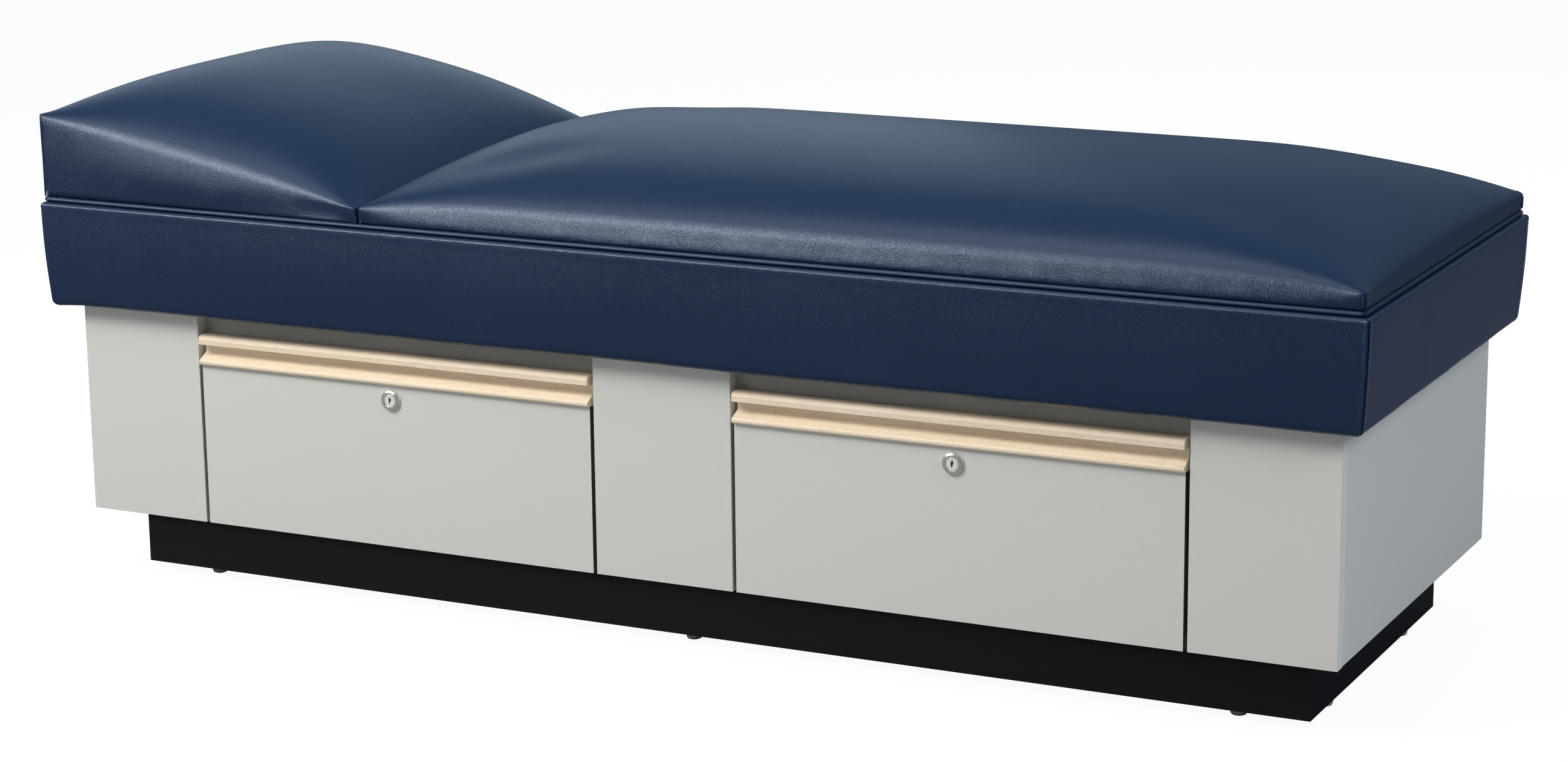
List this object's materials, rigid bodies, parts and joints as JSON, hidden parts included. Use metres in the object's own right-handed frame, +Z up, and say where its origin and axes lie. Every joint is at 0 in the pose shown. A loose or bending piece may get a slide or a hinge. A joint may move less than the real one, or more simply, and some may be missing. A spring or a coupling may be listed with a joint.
{
  "type": "medical exam table",
  "caption": "Upholstered recovery couch with a raised pillow, a crowned cushion and a deep skirt, on a laminate cabinet with lockable drawers below.",
  "frame": {"origin": "centre of the footprint, on the floor", "axes": "+X along the couch to the foot end, -Y to the drawer side, +Z up"},
  "size_m": [1.8282, 0.6852, 0.6796],
  "materials": {
    "navy_vinyl": "satin grained vinyl",
    "foam": "open-cell foam",
    "grey_laminate": "fine textured laminate",
    "black_laminate": "matte laminate",
    "maple": "clear satin lacquer",
    "frame_wood": "planed softwood and plywood",
    "white_melamine": "smooth melamine board",
    "zinc_steel": "zinc plated",
    "lock_chrome": "polished",
    "glide_plastic": "moulded"
  },
  "bodies": {
    "cabinet": {"apron_cover": "navy_vinyl", "apron_padding": "foam", "back_panel": "grey_laminate", "back_top_stretcher": "grey_laminate", "base_screws": "zinc_steel", "cabinet_bottom": "grey_laminate", "centre_stile": "grey_laminate", "couch_back_rail": "frame_wood", "couch_crossbars": "frame_wood", "couch_end_rails": "frame_wood", "couch_front_rail": "frame_wood", "deck_board": "frame_wood", "floor_glides": "glide_plastic", "front_top_rail": "grey_laminate", "front_top_stretcher": "grey_laminate", "left_end_panel": "grey_laminate", "left_stile": "grey_laminate", "main_cushion_cover": "navy_vinyl", "main_cushion_foam": "foam", "pillow_cover": "navy_vinyl", "pillow_foam": "foam", "plinth_back_board": "black_laminate", "plinth_brace": "black_laminate", "plinth_front_board": "black_laminate", "plinth_left_board": "black_laminate", "plinth_right_board": "black_laminate", "right_end_panel": "grey_laminate", "right_stile": "grey_laminate", "slide_outer_members": "zinc_steel", "slide_partitions": "grey_laminate", "top_screws": "zinc_steel", "welt_cord": "navy_vinyl"},
    "left_drawer": {"left_drawer_box_back": "white_melamine", "left_drawer_box_bottom": "white_melamine", "left_drawer_box_front": "white_melamine", "left_drawer_box_sides": "white_melamine", "left_drawer_front": "grey_laminate", "left_drawer_pull": "maple", "left_front_screws": "zinc_steel", "left_lock_housing": "lock_chrome", "left_lock_nut": "zinc_steel", "left_pull_dowels": "maple", "left_slide_inner_members": "zinc_steel"},
    "left_slide_middles": {"left_slide_middle_members": "zinc_steel"},
    "left_lock_barrel": {"left_lock_plug": "lock_chrome", "left_lock_cam": "zinc_steel"},
    "right_drawer": {"right_drawer_box_back": "white_melamine", "right_drawer_box_bottom": "white_melamine", "right_drawer_box_front": "white_melamine", "right_drawer_box_sides": "white_melamine", "right_drawer_front": "grey_laminate", "right_drawer_pull": "maple", "right_front_screws": "zinc_steel", "right_lock_housing": "lock_chrome", "right_lock_nut": "zinc_steel", "right_pull_dowels": "maple", "right_slide_inner_members": "zinc_steel"},
    "right_slide_middles": {"right_slide_middle_members": "zinc_steel"},
    "right_lock_barrel": {"right_lock_plug": "lock_chrome", "right_lock_cam": "zinc_steel"}
  },
  "joints": [
    {"name": "left_drawer_slide", "type": "slide", "parent": "cabinet", "child": "left_drawer", "axis": [0, -1, 0], "range_m": [0, 0.5]},
    {"name": "left_middle_slide", "type": "slide", "parent": "cabinet", "child": "left_slide_middles", "axis": [0, -1, 0], "range_m": [0, 0.25]},
    {"name": "left_lock_turn", "type": "hinge", "parent": "left_drawer", "child": "left_lock_barrel", "pos_m": [-0.3955, -0.3, 0.293], "axis": [0, -1, 0], "range_deg": [0, 90]},
    {"name": "right_drawer_slide", "type": "slide", "parent": "cabinet", "child": "right_drawer", "axis": [0, -1, 0], "range_m": [0, 0.5]},
    {"name": "right_middle_slide", "type": "slide", "parent": "cabinet", "child": "right_slide_middles", "axis": [0, -1, 0], "range_m": [0, 0.25]},
    {"name": "right_lock_turn", "type": "hinge", "parent": "right_drawer", "child": "right_lock_barrel", "pos_m": [0.3955, -0.3, 0.293], "axis": [0, -1, 0], "range_deg": [0, 90]}
  ],
  "couplings": [
    {"joint": "left_middle_slide", "follows": "left_drawer_slide", "ratio": 0.5},
    {"joint": "right_middle_slide", "follows": "right_drawer_slide", "ratio": 0.5}
  ]
}
